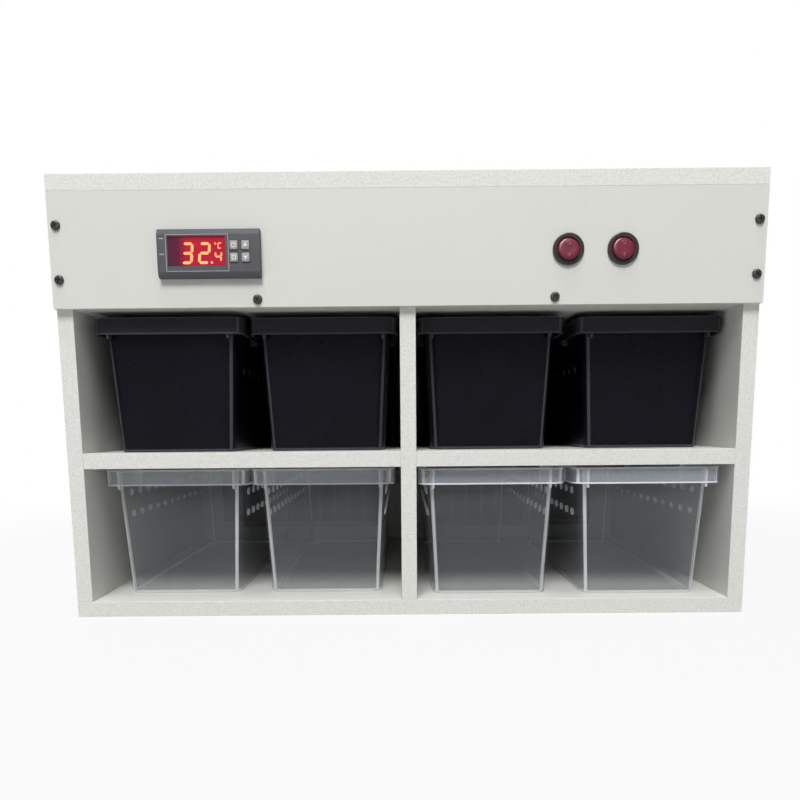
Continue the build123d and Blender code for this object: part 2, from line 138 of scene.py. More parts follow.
def use_modifier(piece, kind, **settings):
    """Adds a modifier, sets it and applies it at once."""
    focus(piece)
    modifier = piece.modifiers.new(kind.title(), kind)
    for name, value in settings.items():
        setattr(modifier, name, value)
    bpy.ops.object.modifier_apply(modifier=modifier.name)


def cut(piece, *cutters):
    """Cuts the cutters out of a piece and removes them."""
    for cutter in cutters:
        use_modifier(piece, "BOOLEAN", operation="DIFFERENCE", solver="EXACT", object=cutter)
        bpy.data.objects.remove(cutter)


def join(pieces, name):
    focus(pieces[0])
    for piece in pieces:
        piece.select_set(True)
    bpy.ops.object.join()
    pieces[0].name = name
    return pieces[0]


def copy_to(piece, name, move):
    """A copy with a mesh of its own, moved by a distance."""
    focus(piece)
    bpy.ops.object.duplicate()
    bpy.context.object.location = move
    return settle(name)


def soften(piece, width, segments=2, angle=40):
    """Rounds the sharp edges, as every moulded, sawn or turned edge is a little round."""
    use_modifier(piece, "BEVEL", width=width, segments=segments, limit_method="ANGLE",
                 angle_limit=radians(angle), use_clamp_overlap=True)


def smooth(piece, angle=35):
    focus(piece)
    bpy.ops.object.shade_smooth_by_angle(angle=radians(angle))


print("helpers ready")

# %% [markdown]
# ## Shader maths as plain Python
# A material's pattern is a small sum, such as 0.7 + 0.05 * grain. Written with nodes it takes a dozen
# lines, so this class wraps a socket and lets Python's own operators add the Math nodes. Colours don't
# go through it, because a Math node turns a colour grey. They are mixed by `blend`.

# %% A socket that can be added and multiplied
class Value:
    """An output socket of a finish, with Python's operators."""

    def __init__(self, finish, socket):
        self.finish = finish
        self.socket = socket

    def sum(self, operation, first, second=0.0):
        return self.finish.node("Math", {"operation": operation}, {0: first, 1: second})

    def __add__(self, other):
        return self.sum("ADD", self, other)

    def __radd__(self, other):
        return self.sum("ADD", other, self)

    def __sub__(self, other):
        return self.sum("SUBTRACT", self, other)

    def __rsub__(self, other):
        return self.sum("SUBTRACT", other, self)

    def __mul__(self, other):
        return self.sum("MULTIPLY", self, other)

    def __rmul__(self, other):
        return self.sum("MULTIPLY", other, self)

    def __abs__(self):
        return self.sum("ABSOLUTE", self)

    def larger(self, other):
        return self.sum("MAXIMUM", self, other)

    def smaller(self, other):
        return self.sum("MINIMUM", self, other)

    def above(self, edge, width):
        """0 below the edge, 1 above it, with a soft step that is width wide."""
        ramp = {"interpolation_type": "SMOOTHSTEP"}
        return self.finish.node("MapRange", ramp, {"Value": self, "From Min": edge - width / 2,
                                                   "From Max": edge + width / 2})

    def below(self, edge, width):
        return 1.0 - self.above(edge, width)


class Finish:
    """A material with one Principled shader, and one method for every other node."""

    def __init__(self, name, colour, **sockets):
        self.material = bpy.data.materials.new(name)
        self.material.use_nodes = True
        self.tree = self.material.node_tree
        self.shader = self.tree.nodes["Principled BSDF"]
        self.set("Base Color", (*colour, 1))
        for socket, value in sockets.items():
            self.set(socket.replace("_", " "), value)

    def set(self, socket, value):
        """Sets a socket of the shader to a number or colour, or links a value to it."""
        if isinstance(value, Value):
            self.tree.links.new(value.socket, self.shader.inputs[socket])
        else:
            self.shader.inputs[socket].default_value = value

    def node(self, kind, settings, inputs, output=0):
        node = self.tree.nodes.new("ShaderNode" + kind)
        for name, value in settings.items():
            setattr(node, name, value)
        for name, value in inputs.items():
            if isinstance(value, Value):
                self.tree.links.new(value.socket, node.inputs[name])
            else:
                node.inputs[name].default_value = value
        return Value(self, node.outputs[output])

    def place(self, stretch=(1, 1, 1)):
        """The point on the piece in metres, stretched for patterns that are longer one way."""
        point = self.node("TexCoord", {}, {}, "Object")
        return self.node("Mapping", {}, {"Vector": point, "Scale": stretch})

    def along(self, axis):
        """One coordinate of the point, in metres."""
        return self.node("SeparateXYZ", {}, {"Vector": self.place()}, "XYZ".index(axis))

    def noise(self, size, detail=2.0, stretch=(1, 1, 1)):
        """Soft random blotches about one size across, from 0 to 1."""
        return self.node("TexNoise", {}, {"Vector": self.place(stretch), "Scale": 1 / size,
                                          "Detail": detail})

    def cells(self, size, stretch=(1, 1, 1)):
        """The distance to the nearest of scattered points, like foam or grains."""
        return self.node("TexVoronoi", {}, {"Vector": self.place(stretch), "Scale": 1 / size})

    def blend(self, share, first, second):
        """A colour between two, where share is 0 and where it is 1."""
        colours = [c if isinstance(c, Value) else (*c, 1) for c in (first, second)]
        return self.node("Mix", {"data_type": "RGBA"}, {0: share, 6: colours[0], 7: colours[1]}, 2)

    def emboss(self, height, depth, strength=1.0):
        """Turns a height from 0 to 1 into bumps that are depth metres deep."""
        self.set("Normal", self.node("Bump", {}, {"Height": height, "Distance": depth,
                                                  "Strength": strength}))


print("shader class ready")

# %% [markdown]
# ## The foam board's two finishes
# Expanded PVC board has a tight satin skin on its faces. A saw opens its foam, so a cut edge is whiter,
# rougher and granular. The skin gets only a faint orange peel and handling marks, while the cut gets
# grains and thin saw lines.

# %% Foam board
board_white = (0.700, 0.700, 0.660)

foam_skin = Finish("foam_skin", board_white, Specular_IOR_Level=0.4)
mottle = foam_skin.noise(0.06, 4)
peel = foam_skin.noise(0.0011, 2)
marks = foam_skin.noise(0.02, 5, (1, 1, 0.15)).above(0.66, 0.12)
foam_skin.set("Base Color", foam_skin.blend(mottle * 0.6 + marks * 0.25, (0.690, 0.690, 0.655),
                                            (0.635, 0.632, 0.592)))
foam_skin.set("Roughness", 0.40 + 0.12 * mottle + 0.10 * marks)
foam_skin.emboss(peel, 0.06 * mm, 0.5)

foam_cut = Finish("foam_cut", board_white, Specular_IOR_Level=0.25)
grains = foam_cut.cells(0.0016)
flecks = foam_cut.noise(0.0028, 6)
saw = foam_cut.noise(0.0012, 1, (0.04, 1, 1))
grit = (grains * 0.7 + flecks * 0.5).smaller(1.0)
foam_cut.set("Base Color", foam_cut.blend(grit, (0.830, 0.830, 0.800), (0.650, 0.650, 0.610)))
foam_cut.set("Roughness", 0.72 + 0.2 * flecks)
foam_cut.emboss(grit * 0.8 + saw * 0.2, 0.25 * mm, 0.8)
print("foam board finishes ready")

# %% [markdown]
# ## Pieces ride on bodies
# A finished piece gets its finishes, rides on the body that carries it and takes over from its CAD
# node. One helper does all three, so none is forgotten.

# %% Mounting a finished piece
made = []


def mount(piece, body, slot, finish, *nodes):
    if not piece.data.materials:
        piece.data.materials.append(finish.material)
    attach(piece, body)
    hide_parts(*nodes)
    made.append(piece.name)
    print(piece.name, "rides on", body, "with", len(piece.data.polygons), "faces")


def paint(piece, first, *others):
    """Gives a piece one finish, and others where a test on a face's middle and normal passes."""
    piece.data.materials.clear()
    piece.data.materials.append(first.material)
    for index, (finish, test) in enumerate(others, 1):
        piece.data.materials.append(finish.material)
        for face in piece.data.polygons:
            if test(face.center, face.normal):
                face.material_index = index


print("ready to mount pieces")

# %% [markdown]
# ## The boards
# A board is a block that has been sawn to size, so each starts as a block between the corners of its
# node. Notches and holes are cut next, and last the edges lose a third of a millimetre, which is what
# makes the joints between two boards show as fine dark lines. The faces across the thickness keep the
# skin and all the others are cut edges.

# %% Sawn boards
worn_edge = 0.35 * mm
notch_start, notch_end, notch_depth = 8 * mm, 26 * mm, 8 * mm
case_side_overlap, case_level_overlap = 1.7 * mm, 2.4 * mm
switch_hole_radius = 10 * mm
gland_hole_radius = 8 * mm
thickness_axis = {
    "bottom_board": "z", "top_board": "z", "shelf_left": "z", "shelf_right": "z", "bay_floor": "z",
    "side_board_left": "x", "side_board_right": "x", "centre_divider": "x",
    "front_panel": "y", "back_panel": "y",
}


def hole_cutters(node):
    """The notches and holes of a board, as blocks and rods to cut out."""
    low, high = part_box(node)
    cutters = []
    if node in ("shelf_left", "shelf_right", "bay_floor"):
        back = high.y
        sides = [-1] if node == "shelf_left" else [1] if node == "shelf_right" else [-1, 1]
        for side in sides:
            near, far = sorted((side * notch_start, side * notch_end))
            cutters.append(start_block("cutter", (near, back - notch_depth, low.z - mm),
                                       (far, back + mm, high.z + mm)))
    if node == "front_panel":
        case_low, case_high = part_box("controller_case")
        inset = Vector((case_side_overlap, 0, case_level_overlap))
        case_low, case_high = case_low + inset, case_high - inset
        cutters.append(start_block("cutter", (case_low.x, low.y - mm, case_low.z),
                                   (case_high.x, high.y + mm, case_high.z)))
        for side in ("left", "right"):
            bezel_low, bezel_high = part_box(f"switch_{side}_housing")
            middle = (bezel_low + bezel_high) / 2
            cutters.append(start_rod("cutter", switch_hole_radius, low.y - mm, high.y + mm,
                                     middle.x, middle.z))
    if node == "back_panel":
        seal_low, seal_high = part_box("gland_seal")
        middle = (seal_low + seal_high) / 2
        cutters.append(start_rod("cutter", gland_hole_radius, low.y - mm, high.y + mm,
                                 middle.x, middle.z))
    return cutters


for node, axis in thickness_axis.items():
    low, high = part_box(node)
    board = start_block(f"foam_{node}", low, high)
    cut(board, *hole_cutters(node))
    soften(board, worn_edge)
    across = "xyz".index(axis)
    paint(board, foam_skin, (foam_cut, lambda middle, normal: abs(normal[across]) < 0.5))
    mount(board, "cabinet", "foam_board", foam_skin, node)

# %% [markdown]
# ## The tub's plastics
# The lower tubs are milky polypropylene, which shows what is behind it through a pale veil. Where one
# looks along a wall instead of through it, at the rim, the webs and the corners, the veil thickens to
# white. Real refraction would be slow and noisy through a dozen walls, so the veil is the shader's
# alpha: low on walls, a little higher near the foot and on the skirt, and high on a second finish for
# edges. That pale edge finish is partly this thicker veil and partly a painted highlight, the bright
# lines along the rim, the bead and the corners. The upper tubs are smoked nearly black, and only their
# skirts are a shade lighter; their edges get a faint grey painted highlight.

# %% Clear and smoky polypropylene
lower_skirt_edge = 102.5 * mm
upper_skirt_edge = 219.5 * mm
foot_level = 19 * mm

clear_wall = Finish("clear_wall", (0.58, 0.63, 0.69), Roughness=0.32, IOR=1.49, Specular_IOR_Level=0.3)
haze = clear_wall.noise(0.03, 3)
height = clear_wall.along("Z")
foot_glow = height.below(foot_level, 20 * mm)
in_skirt = height.above(lower_skirt_edge, 1 * mm)
clear_wall.set("Base Color", clear_wall.blend(in_skirt, (0.30, 0.32, 0.345), (0.56, 0.60, 0.66)))
clear_wall.set("Alpha", 0.125 + 0.05 * haze + 0.05 * foot_glow + 0.10 * in_skirt)
clear_wall.set("Roughness", 0.26 + 0.15 * haze)
clear_wall.emboss(clear_wall.noise(0.02, 3), 0.5 * mm, 0.25)

# The pale edge finish: partly the thicker veil where the plastic is seen edge-on, partly a painted
# highlight.
clear_edge_and_highlight = Finish("clear_edge_and_highlight", (0.90, 0.93, 0.96), Roughness=0.25, IOR=1.49)
clear_edge_and_highlight.set("Alpha", 0.52 + 0.20 * clear_edge_and_highlight.noise(0.02, 3))

smoked_wall = Finish("smoked_wall", (0.006, 0.006, 0.010), IOR=1.49, Specular_IOR_Level=0.16)
smear = smoked_wall.noise(0.035, 4)
near_black = smoked_wall.blend(smear, (0.002, 0.002, 0.005), (0.006, 0.006, 0.012))
smoked_skirt = smoked_wall.along("Z").above(upper_skirt_edge, 1 * mm)
smoked_wall.set("Base Color", smoked_wall.blend(smoked_skirt, near_black, (0.030, 0.028, 0.034)))
smoked_wall.set("Roughness", 0.22 + 0.22 * smear)
smoked_wall.set("Alpha", 0.93 + 0.04 * smear)
smoked_wall.emboss(smoked_wall.noise(0.02, 3), 0.5 * mm, 0.25)

# A faint grey painted highlight on the smoked tubs' rim, bead and corners.
smoked_edge_highlight = Finish("smoked_edge_highlight", (0.060, 0.060, 0.070), IOR=1.49, Specular_IOR_Level=0.3)
smoked_edge_highlight.set("Roughness", 0.25 + 0.2 * smoked_edge_highlight.noise(0.02, 3))
print("tub finishes ready")

# %% [markdown]
# ## One tub, step by step
# The real tub is one moulding: a tapered box, a flange around its mouth, a skirt that hangs from the
# flange, and a pull lip at each end. It could be built from its CAD shape, but that has only a few flats
# to a corner. Here it grows from one block, as the moulding does: round the corners, draw in the foot,
# open the top, then pull the edge out into the flange and down into the skirt.

# %% The tapered shell
tub_low, tub_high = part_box("tub_lower_1")
tub_height = tub_high.z - tub_low.z
rim_width = tub_high.x - tub_low.x
lip_reach = 5 * mm
rim_length = tub_high.y - tub_low.y - 2 * lip_reach
overhang = 7.2 * mm
body_width = rim_width - 2 * overhang
body_length = rim_length - 2 * overhang
draft_angle = radians(3.2)
draft = tub_height * tan(draft_angle)
corner_radius = 9 * mm
foot_radius = 2.6 * mm
tiny = 0.05 * mm

tub = start_block("tub", (-body_width / 2, -body_length / 2, 0),
                  (body_width / 2, body_length / 2, tub_height))
edit(tub, "EDGE")
choose(lambda middle, way: abs(way.z) > 0.9)
bpy.ops.mesh.bevel(offset=corner_radius, segments=6, affect="EDGES")
bpy.ops.mesh.select_mode(type="FACE")
choose(lambda middle, normal: normal.z < -0.9)
bpy.ops.transform.resize(value=(1 - 2 * draft / body_width, 1 - 2 * draft / body_length, 1))
bpy.ops.mesh.select_mode(type="EDGE")
choose(lambda middle, way: middle.z < tiny)
bpy.ops.mesh.bevel(offset=foot_radius, segments=3, affect="EDGES")
bpy.ops.mesh.select_mode(type="FACE")
choose(lambda middle, normal: normal.z > 0.9)
bpy.ops.mesh.delete(type="FACE")
leave()
print("shell", round(body_width / mm, 1), "x", round(body_length / mm, 1), "mm at its mouth")

# %% [markdown]
# The flange is the mouth's edge pulled outwards. Scaling it would stretch the corners, so each side is
# moved out by the same distance instead. It is lifted a millimetre while this is done, which keeps its
# corners apart from the mouth's when they are selected by place.

# %% The flange and the pull lips
lift = 1 * mm
edit(tub, "EDGE")
bpy.ops.mesh.select_non_manifold(extend=False, use_boundary=True)
bpy.ops.mesh.extrude_edges_move(TRANSFORM_OT_translate={"value": (0, 0, lift)})
bpy.ops.mesh.select_mode(type="VERT")
lifted = tub_height + lift / 2
for axis, way in ((0, 1), (0, -1), (1, 1), (1, -1)):
    choose(lambda place, normal: place.z > lifted and way * place[axis] > 0)
    shift(*(way * overhang if step == axis else 0 for step in range(3)))
choose(lambda place, normal: place.z > lifted)
shift(z=-lift)

lip_half = 29.5 * mm
lip_slope = 2.5 * mm
bpy.ops.mesh.select_mode(type="FACE")
for x in (-lip_half - lip_slope, -lip_half, lip_half, lip_half + lip_slope):
    choose(lambda middle, normal: (normal.z > 0.9 and abs(middle.y) > body_length / 2
                                   and middle.z > lifted - lift))
    bpy.ops.mesh.bisect(plane_co=(x, 0, 0), plane_no=(1, 0, 0))
bpy.ops.mesh.select_mode(type="VERT")
for way in (-1, 1):
    choose(lambda place, normal: way * place.y > rim_length / 2 - tiny and abs(place.x) < lip_half + tiny)
    shift(y=way * lip_reach)
leave()
print("rim", round(rim_width / mm, 1), "mm wide with lips", round(2 * lip_half / mm), "mm wide")

# %% [markdown]
# The skirt is the flange's edge pulled down. Its last millimetre turns out a little as a bead, the
# bright line along the bottom of the rim, which is partly a painted highlight. Then the top edges are
# rounded and the shell is given its wall. The bead and the wall's rim take the edge finish with its
# painted highlight, which is why the material slots come first.

# %% The skirt and the wall
skirt_height = 12.6 * mm
bead = 0.3 * mm
edit(tub, "EDGE")
bpy.ops.mesh.select_non_manifold(extend=False, use_boundary=True)
bpy.ops.mesh.extrude_edges_move(TRANSFORM_OT_translate={"value": (0, 0, -skirt_height + 1.2 * mm)})
bpy.ops.transform.resize(value=(1 - 2 * bead / rim_width, 1 - 2 * bead / rim_length, 1))
bpy.ops.mesh.extrude_edges_move(TRANSFORM_OT_translate={"value": (0, 0, -0.4 * mm)})
bpy.ops.transform.resize(value=(1 + 2 * bead / rim_width, 1 + 2 * bead / rim_length, 1))
bpy.ops.mesh.extrude_edges_move(TRANSFORM_OT_translate={"value": (0, 0, -0.8 * mm)})
bpy.ops.mesh.select_all(action="SELECT")
bpy.ops.mesh.normals_make_consistent(inside=False)
leave()
soften(tub, 0.7 * mm, 2, 55)
corner_face = 0.55
lip_side = lip_half + lip_slope / 2
bead_level = tub_height - skirt_height + 0.6 * mm


def edge_on_or_highlit(middle, normal):
    """Tells whether a face is where one looks along the plastic, not through it, or takes a painted
    highlight.
    """
    not_level = abs(normal.z) < 0.97
    # Thin pale lines on the corners, partly thick veil seen edge-on and partly painted highlight.
    corner = corner_face < abs(normal.x) < abs(normal.y) and abs(middle.x) > body_width * 0.4
    foot = middle.z < foot_radius and not_level
    side_of_lip = abs(abs(middle.x) - lip_side) < 2.2 * mm and abs(middle.y) > rim_length / 2 - 1 * mm
    # The rim's top edge carries a painted highlight line.
    rim = middle.z > tub_height - 0.6 * mm and not_level
    # The bead carries a painted highlight line, the bright line at the bottom of the rim.
    on_bead = abs(middle.z - bead_level) < 0.7 * mm
    return corner or foot or side_of_lip or rim or on_bead


# These faces get the pale edge finish: thicker veil and painted highlight.
paint(tub, clear_wall, (clear_edge_and_highlight, edge_on_or_highlit))
wall = 1.5 * mm
use_modifier(tub, "SOLIDIFY", thickness=wall, offset=-1, use_even_offset=True, material_offset_rim=1)
print("tub wall has", len(tub.data.polygons), "faces")

# %% [markdown]
# Upright webs join the skirt to the wall and stiffen the rim. They are seen through the plastic as
# bright lines, and their feet reach just below the skirt. The vents are two rows of small holes in each
# side wall, drilled in one go right through both.

# %% The webs and the vents
web_half = 1 * mm
web_low = tub_height - skirt_height - 3.1 * mm
web_high = tub_height - 1 * mm
webs = []
for side in (-1, 1):
    for x in (-46 * mm, 46 * mm):
        near, far = sorted((side * (body_length / 2 - wall), side * (rim_length / 2 - 1 * mm)))
        webs.append(start_block("web", (x - web_half, near, web_low), (x + web_half, far, web_high)))
    for y in (-75 * mm, 75 * mm):
        near, far = sorted((side * (body_width / 2 - wall), side * (rim_width / 2 - 1 * mm)))
        webs.append(start_block("web", (near, y - web_half, web_low), (far, y + web_half, web_high)))
for web in webs:
    soften(web, 0.4 * mm, 1)
    # The webs get the pale edge finish all over, thicker veil and painted highlight.
    paint(web, clear_wall, (clear_edge_and_highlight, lambda middle, normal: True))

vent_radius = 3 * mm
vent_pitch, vent_row_pitch = 20 * mm, 18 * mm
vent_top = tub_height - skirt_height - 8 * mm
vents = []
for row in range(2):
    for column in range(-5, 6):
        bpy.ops.object.select_all(action="DESELECT")
        place = (0, column * vent_pitch, vent_top - row * vent_row_pitch)
        bpy.ops.mesh.primitive_cylinder_add(vertices=12, radius=vent_radius, depth=body_width,
                                            location=place, rotation=(0, pi / 2, 0))
        vents.append(settle("vent"))
drill = join(vents, "drill")
# The vents' sides get the pale edge finish, so the holes show pale rims, partly painted highlight.
paint(drill, clear_wall, (clear_edge_and_highlight, lambda middle, normal: True))
cut(tub, drill)
tub = join([tub, *webs], "tub")
smooth(tub, 32)
print("tub has", len(tub.data.polygons), "faces, and", len(webs), "webs")

# %% [markdown]
# ## Eight tubs
# The tub is now moved to each of the eight places, with a mesh of its own there, and smoky finishes
# take the place of the clear ones in the upper row.

# %% Tubs in their places
for row in ("lower", "upper"):
    for number in range(1, 5):
        node = f"tub_{row}_{number}"
        low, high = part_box(node)
        middle = (low + high) / 2
        copy = copy_to(tub, f"moulded_{node}", (middle.x, middle.y, low.z))
        if row == "upper":
            copy.data.materials[0] = smoked_wall.material
            # The upper row's edges take the smoked finish with its faint painted highlight.
            copy.data.materials[1] = smoked_edge_highlight.material
        slot = "clear_tub" if row == "lower" else "smoked_tub"
        mount(copy, node, slot, clear_wall, node)
bpy.data.objects.remove(tub)

# %% [markdown]
# ## The thermostat's front
# A panel thermostat is a moulded case in a standard cut-out, with a front that overlaps the panel. Its
# plastic is a dark grey with a fine grain, and what is printed on it is a paler grey.

# %% Thermostat plastics
case_plastic = Finish("case_plastic", (0.090, 0.090, 0.105), Specular_IOR_Level=0.25)
texture = case_plastic.noise(0.0006, 2)
wear = case_plastic.noise(0.012, 4)
case_plastic.set("Base Color", case_plastic.blend(wear, (0.078, 0.078, 0.092), (0.118, 0.118, 0.130)))
case_plastic.set("Roughness", 0.55 + 0.15 * wear)
case_plastic.emboss(texture, 0.04 * mm, 0.5)

printed_grey = Finish("printed_grey", (0.36, 0.34, 0.37), Roughness=0.5)
printed_grey.set("Base Color", printed_grey.blend(printed_grey.noise(0.003, 3), (0.30, 0.28, 0.31),
                                                  (0.42, 0.40, 0.43)))
print("case finishes ready")

# %% [markdown]
# The front starts as one block. Two bisects mark where a band begins at the top and at the foot, and
# the outer edges are pushed back, so the upper band catches more light than the face and the lower one
# less. Then the recess of the window and the wells of the keys are cut.

# %% The case
face_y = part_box("front_panel")[0].y
case_low, case_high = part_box("controller_case")
case_x = (case_low.x + case_high.x) / 2
case_z = (case_low.z + case_high.z) / 2
front_y = case_low.y
half_height = (case_high.z - case_low.z) / 2
band = 4 * mm
band_slope = 1.8 * mm


def on_case(x, y, z):
    """A point given in millimetres from the middle of the thermostat's front."""
    return Vector((case_x + x * mm, front_y + y * mm, case_z + z * mm))


case = start_block("thermostat_case", on_case(-37.5, 0, -17.25), on_case(37.5, 6, 17.25))
edit(case, "FACE")
for side in (-1, 1):
    bpy.ops.mesh.select_all(action="SELECT")
    bpy.ops.mesh.bisect(plane_co=(0, 0, case_z + side * (half_height - band)), plane_no=(0, 0, 1))
bpy.ops.mesh.select_mode(type="VERT")
choose(lambda place, normal: place.y < front_y + tiny and abs(place.z - case_z) > half_height - tiny)
shift(y=band_slope)
leave()
soften(case, 0.5 * mm, 3, 20)
back_box = start_block("case_back", on_case(-35.5, 5, -14.5), on_case(35.5, 66, 14.5))
soften(back_box, 0.6 * mm)
recess = start_block("cutter", on_case(-29.5, -1, -9.2), on_case(12.5, 1.4, 11.8))
key_middles = {"power": (18.7, 5.2), "up": (27.2, 5.2), "set": (18.7, -3.4), "down": (27.2, -3.4)}
wells = [start_block("cutter", on_case(x - 3.2, -1, z - 3.4), on_case(x + 3.2, 4, z + 3.4))
         for x, z in key_middles.values()]
cut(case, recess, *wells)
case = join([case, back_box], "thermostat_case")
smooth(case, 25)
mount(case, "cabinet", "controller_plastic", case_plastic, "controller_case")

# %% [markdown]
# A thin printed frame runs round the window, and two short printed bars stand beside it. The frame is
# one block with its middle cut out, and stands a little proud of the front.

# %% Printed frame and marks
frame_line = start_block("frame_line", on_case(-31.0, -0.15, -13.0), on_case(14.9, 0.3, 13.2))
cut(frame_line, start_block("cutter", on_case(-30.5, -1, -12.5), on_case(14.4, 1, 12.7)))
bar_heights = (10.2, -0.8)
bars = [start_block("bar", on_case(-35.6, -0.12, z - 0.5), on_case(-32.2, 0.3, z + 0.5))
        for z in bar_heights]
for bar in bars:
    soften(bar, 0.2 * mm)
marks = join([frame_line, *bars], "thermostat_marks")
mount(marks, "cabinet", "controller_plastic", printed_grey)

# %% [markdown]
# ## The window and the digits
# Behind the dark red window a block of light-emitting digits glows. Three layers make that: a plate
# whose red glow fades away from the digits, the digits' bars just in front of it, and a thin pane with
# a hard gloss. The fade is a product of soft steps in X and Z, so it stays put from every side.

# %% Glowing finishes
glow_plate = Finish("glow_plate", (0.05, 0.0, 0.01), Roughness=0.6, Emission_Strength=1.0)
across = glow_plate.along("X") - case_x
upright = glow_plate.along("Z") - case_z
near_digits = (across.above(-19 * mm, 9 * mm) * across.below(12.5 * mm, 5 * mm)
               * abs(upright - 0.5 * mm).below(10.5 * mm, 6 * mm))
purple, crimson = (0.060, 0.006, 0.030), (0.62, 0.0, 0.035)
glow_plate.set("Emission Color", glow_plate.blend(near_digits, purple, crimson))

lit_bar = Finish("lit_bar", (0.9, 0.45, 0.15), Roughness=0.5, Emission_Strength=1.6)
spread = lit_bar.noise(0.004, 2)
lit_bar.set("Emission Color", lit_bar.blend(spread, (1.0, 0.30, 0.06), (1.0, 0.42, 0.16)))

window_pane = Finish("window_pane", (0.10, 0.0, 0.015), Roughness=0.06, IOR=1.49, Coat_Weight=0.4)
window_pane.set("Alpha", 0.14 + 0.05 * window_pane.noise(0.01, 3))
print("glowing finishes ready")

# %% [markdown]
# The plate lies on the floor of the recess, and the pane closes it a tenth of a millimetre below the
# front.

# %% Plate and pane
plate = start_block("glow_plate", on_case(-29.3, 0.9, -9.0), on_case(12.3, 1.4, 11.6))
soften(plate, 0.1 * mm)
mount(plate, "cabinet", "display_block", glow_plate)
pane = start_block("window_pane", on_case(-29.4, 0.1, -9.1), on_case(12.4, 0.5, 11.7))
soften(pane, 0.15 * mm)
mount(pane, "cabinet", "red_window", window_pane, "controller_window")

# %% [markdown]
# A digit is made of up to seven bars with pointed ends. One bar is a block whose end faces are pulled
# out and pinched. Each digit lists its bars by letter, a at the top and then clockwise with g in the
# middle, and leans a little to the right as on the real display.

# %% Seven-bar digits
bar_front, bar_back = 0.62, 0.9


def bar_between(x0, z0, x1, z1, stroke):
    """A bar with pointed ends along X or Z, in millimetres on the thermostat's front."""
    level = z0 == z1
    gap = stroke * 0.62
    half = stroke / 2
    if level:
        ends = on_case(x0 + gap, bar_front, z0 - half), on_case(x1 - gap, bar_back, z0 + half)
    else:
        ends = on_case(x0 - half, bar_front, z0 + gap), on_case(x0 + half, bar_back, z1 - gap)
    bar = start_block("bar", *ends)
    edit(bar, "FACE")
    axis = 0 if level else 2
    pinch = (1, 1, 0.15) if level else (0.15, 1, 1)
    for way in (-1, 1):
        choose(lambda middle, normal: way * normal[axis] > 0.9)
        move = [0, 0, 0]
        move[axis] = way * stroke * 0.45 * mm
        bpy.ops.mesh.extrude_region_move(TRANSFORM_OT_translate={"value": move})
        bpy.ops.transform.resize(value=pinch)
    leave()
    return bar


digit_bars = {"3": "abcdg", "2": "abged", "4": "fgbc", "C": "afed"}


def digit(character, x, z, width, height, stroke):
    """The bars of a digit around its middle, leaning to the right."""
    right, top = (width - stroke) / 2, (height - stroke) / 2
    ends = {"a": (-right, top, right, top), "d": (-right, -top, right, -top), "g": (-right, 0, right, 0),
            "f": (-right, 0, -right, top), "b": (right, 0, right, top),
            "e": (-right, -top, -right, 0), "c": (right, -top, right, 0)}
    bars = []
    for letter in digit_bars[character]:
        x0, z0, x1, z1 = ends[letter]
        bars.append(bar_between(x + x0, z + z0, x + x1, z + z1, stroke))
    made_digit = join(bars, "digit")
    middle = on_case(x, 0, z)
    lean = Matrix(((1, 0, 0.10, 0), (0, 1, 0, 0), (0, 0, 1, 0), (0, 0, 0, 1)))
    made_digit.data.transform(Matrix.Translation(middle) @ lean @ Matrix.Translation(-middle))
    return made_digit


figures = [digit("3", -15.4, 0.0, 8.4, 15.2, 1.9), digit("2", -3.0, 0.0, 8.7, 15.2, 1.9),
           digit("4", 7.0, -2.5, 5.5, 7.6, 1.2), digit("C", 8.3, 5.2, 3.0, 4.4, 0.75)]
figures.append(start_rod("point", 0.85 * mm, front_y + bar_front * mm, front_y + bar_back * mm,
                         case_x + 2.2 * mm, case_z - 6.6 * mm, 20))
bpy.ops.object.select_all(action="DESELECT")
bpy.ops.mesh.primitive_torus_add(location=on_case(5.2, 0.78, 6.6), rotation=(pi / 2, 0, 0),
                                 major_radius=0.62 * mm, minor_radius=0.2 * mm, major_segments=20,
                                 minor_segments=6)
figures.append(settle("degree"))
digits = join(figures, "display_digits")
mount(digits, "cabinet", "display_block", lit_bar, "controller_display")

# %% [markdown]
# ## The keys
# Four small pale keys stand in wells with a hair of clearance. Each carries a raised sign of the plain
# kind that such keys have: power, up, set and down.

# %% Key finishes
key_grey = Finish("key_grey", (0.36, 0.36, 0.35), Specular_IOR_Level=0.4)
key_wear = key_grey.noise(0.004, 3)
key_grey.set("Base Color", key_grey.blend(key_wear, (0.30, 0.30, 0.29), (0.42, 0.42, 0.40)))
key_grey.set("Roughness", 0.45 + 0.15 * key_wear)
sign_white = Finish("sign_white", (0.74, 0.74, 0.72), Roughness=0.5)
sign_white.set("Base Color", sign_white.blend(sign_white.noise(0.002, 2), (0.68, 0.68, 0.66),
                                              (0.80, 0.80, 0.78)))
print("key finishes ready")

# %% [markdown]
# A key is a block with a rounded front. The arrows are rods with three sides, turned if they point the
# wrong way. The power sign is a ring with a gap and a stem, and the set sign is a square frame. A sign
# rides with its key, because it is joined to it.

# %% Keys with their signs
sign_front, sign_back = front_y - 1.18 * mm, front_y - 0.9 * mm


